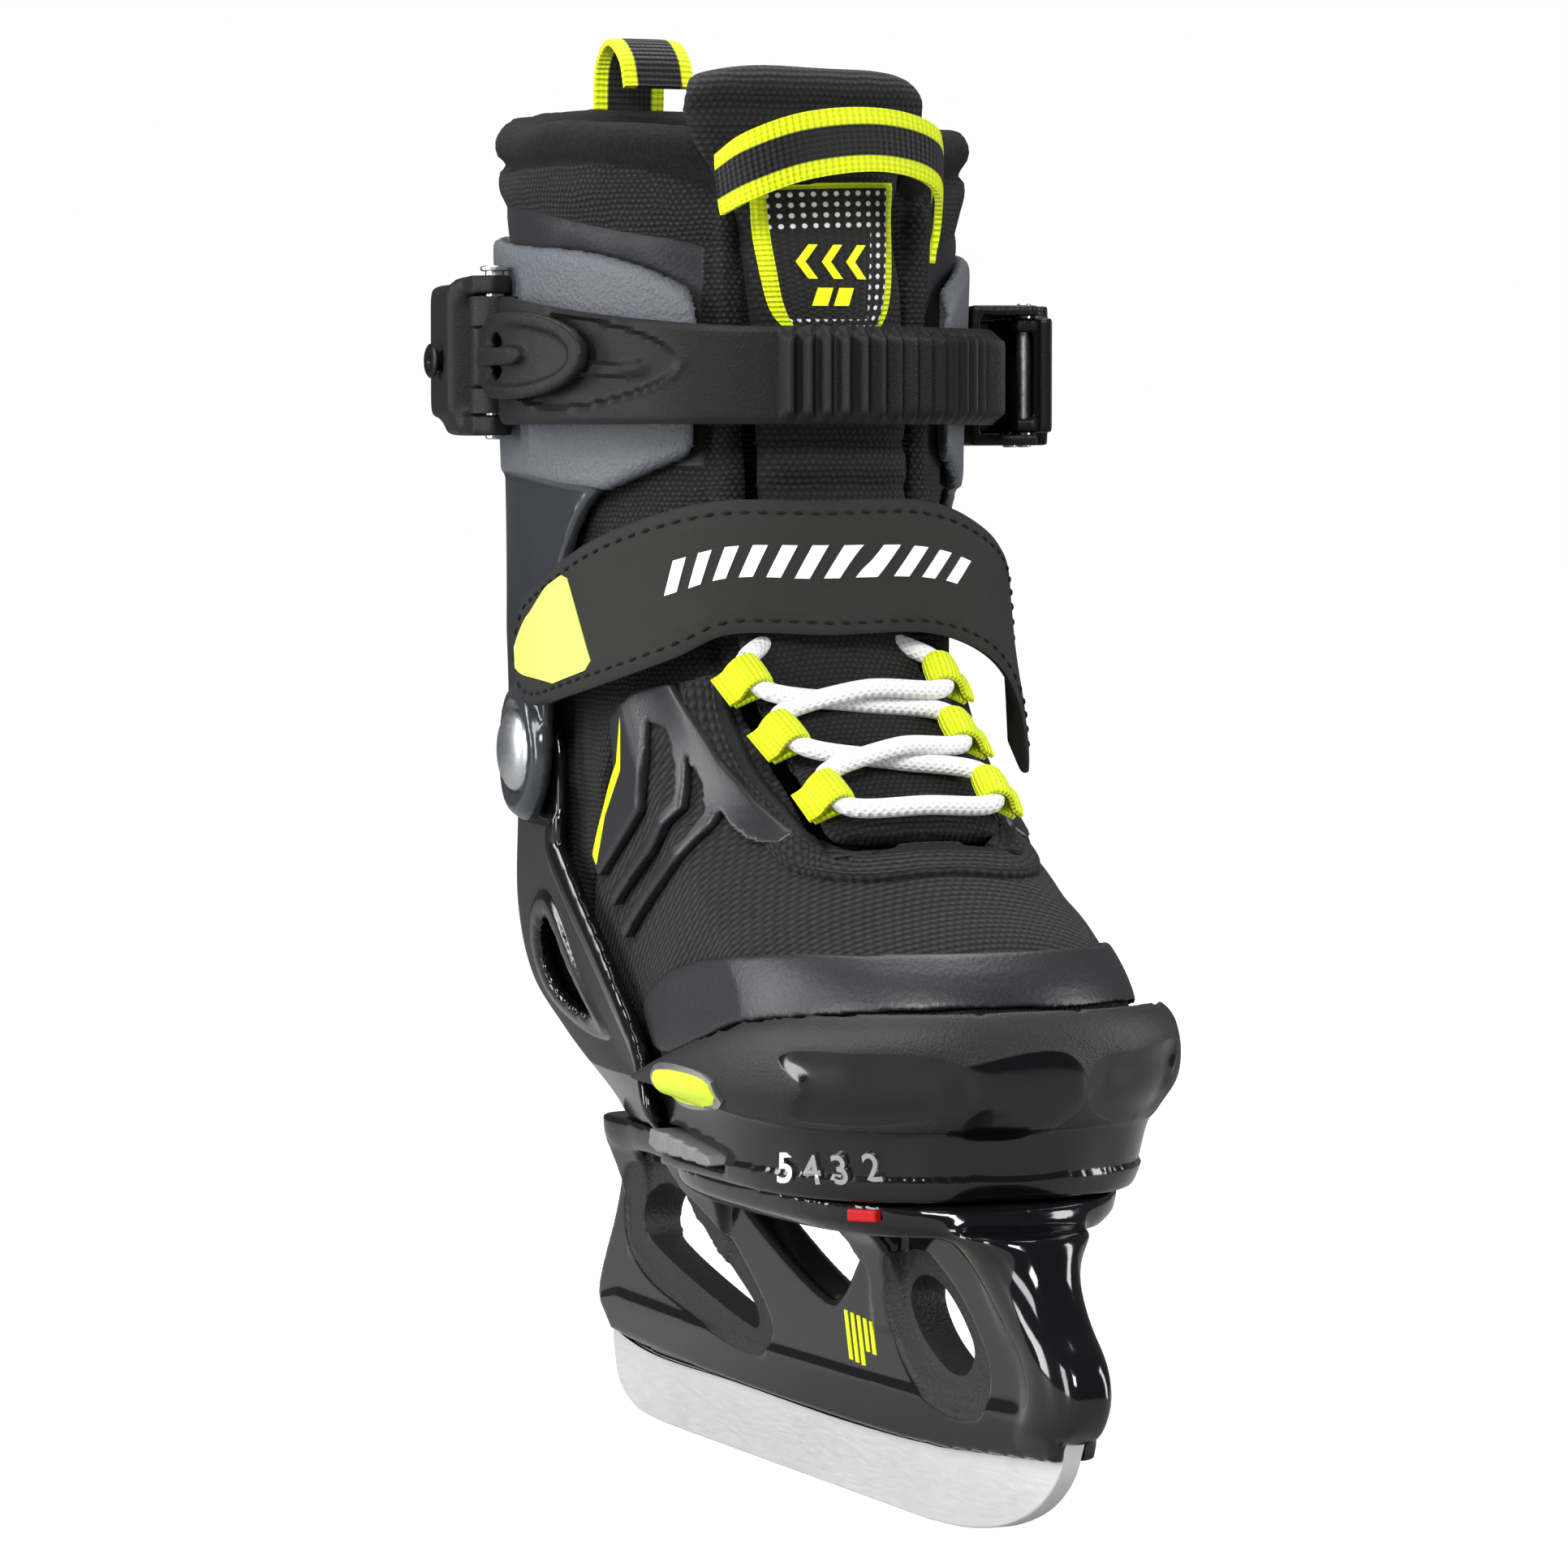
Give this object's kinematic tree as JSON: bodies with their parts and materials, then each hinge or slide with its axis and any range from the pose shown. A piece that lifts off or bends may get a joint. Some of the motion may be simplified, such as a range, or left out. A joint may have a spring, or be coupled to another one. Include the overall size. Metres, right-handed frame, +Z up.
{
  "type": "ice skate",
  "caption": "Child's soft-boot ice skate with hard shells, hinged cuff, ratchet strap, instep strap, laces and a toe that slides out to fit larger feet.",
  "frame": {"origin": "middle of the blade's running edge, on the ice", "axes": "+Z up, -Y towards the toe, +X towards the buckle, the outer side of a left foot"},
  "size_m": [0.1237, 0.241, 0.2989],
  "materials": {
    "steel": "ground runner steel",
    "gloss_black": "polished",
    "matte_black": "fine texture",
    "slate": "pebbled",
    "mesh_black": "padded knit mesh",
    "liner": "fleece",
    "cage": "satin moulded film",
    "vinyl": "smooth coated",
    "nubuck": "brushed, stitched edge",
    "yellow_web": "woven webbing",
    "yellow_plate": "printed, silver rim",
    "lace_white": "round braid",
    "grey": "moulded grip",
    "red": "moulded",
    "zinc": "plated"
  },
  "bodies": {
    "chassis": {"blade_runner": "steel", "blade_holder": "gloss_black", "holder_bolt_middle": "zinc", "holder_bolt_rear": "zinc", "size_pointer": "red", "heel_shell": "gloss_black", "footbed": "liner", "heel_upper": "mesh_black", "gusset_inner": "mesh_black", "gusset_outer": "mesh_black"},
    "toe_box": {"toe_shell": "matte_black", "label_plate": "yellow_plate", "front_upper": "mesh_black", "toe_cap_panel": "vinyl", "eyestay": "mesh_black", "side_cage_inner": "cage", "side_cage_outer": "cage", "tongue_vamp": "mesh_black", "lace": "lace_white", "button_spring": "zinc", "lace_loop_inner_1": "yellow_web", "lace_loop_inner_2": "yellow_web", "lace_loop_inner_3": "yellow_web", "lace_loop_outer_1": "yellow_web", "lace_loop_outer_2": "yellow_web", "lace_loop_outer_3": "yellow_web"},
    "lock_button": {"size_button": "grey"},
    "instep": {"instep_strap": "nubuck"},
    "cuff_and_shaft": {"cuff": "slate", "ankle_rivet_inner": "zinc", "ankle_rivet_outer": "zinc", "shaft_upper": "mesh_black", "tongue": "mesh_black", "tongue_loop": "yellow_web", "heel_loop": "yellow_web", "strap_anchor": "matte_black", "strap_pin": "zinc", "anchor_screw": "zinc", "buckle_base": "matte_black", "buckle_rivet": "zinc", "lever_pin": "zinc", "pawl_pin": "zinc"},
    "ratchet": {"ratchet_strap": "matte_black"},
    "clip": {"adjuster_clip": "matte_black"},
    "lever": {"buckle_lever": "matte_black"},
    "pawl": {"buckle_pawl": "matte_black"}
  },
  "joints": [
    {"name": "cuff_flex", "type": "hinge", "parent": "chassis", "child": "cuff_and_shaft", "pos_m": [0, 0.059, 0.147], "axis": [1, 0, 0], "range_deg": [-4, 4]},
    {"name": "toe_extend", "type": "slide", "parent": "chassis", "child": "toe_box", "axis": [0, -1, 0], "range_m": [0, 0.024]},
    {"name": "size_lock", "type": "slide", "parent": "toe_box", "child": "lock_button", "axis": [1, 0, 0], "range_m": [0, 0.003], "stiffness_N_per_m": 300, "springref_m": -0.003, "deforming": ["button_spring"]},
    {"name": "instep_open", "type": "hinge", "parent": "toe_box", "child": "instep", "pos_m": [0.048, 0.01, 0.155], "axis": [0, 0, 1], "range_deg": [0, 70]},
    {"name": "ratchet_swing", "type": "hinge", "parent": "cuff_and_shaft", "child": "ratchet", "pos_m": [-0.0505, 0.055, 0.2285], "axis": [0, 0, -1], "range_deg": [0, 60]},
    {"name": "clip_lift", "type": "hinge", "parent": "ratchet", "child": "clip", "pos_m": [-0.0505, 0.055, 0.2285], "axis": [0, 0, -1], "range_deg": [0, 30]},
    {"name": "lever_lift", "type": "hinge", "parent": "cuff_and_shaft", "child": "lever", "pos_m": [0.054, 0.02003, 0.225], "axis": [0, 0, -1], "range_deg": [0, 60]},
    {"name": "pawl_lift", "type": "hinge", "parent": "cuff_and_shaft", "child": "pawl", "pos_m": [0.05805, 0.03488, 0.225], "axis": [0, 0, 1], "range_deg": [0, 12], "stiffness_Nm_per_rad": 0.05, "springref_deg": -11.46}
  ]
}
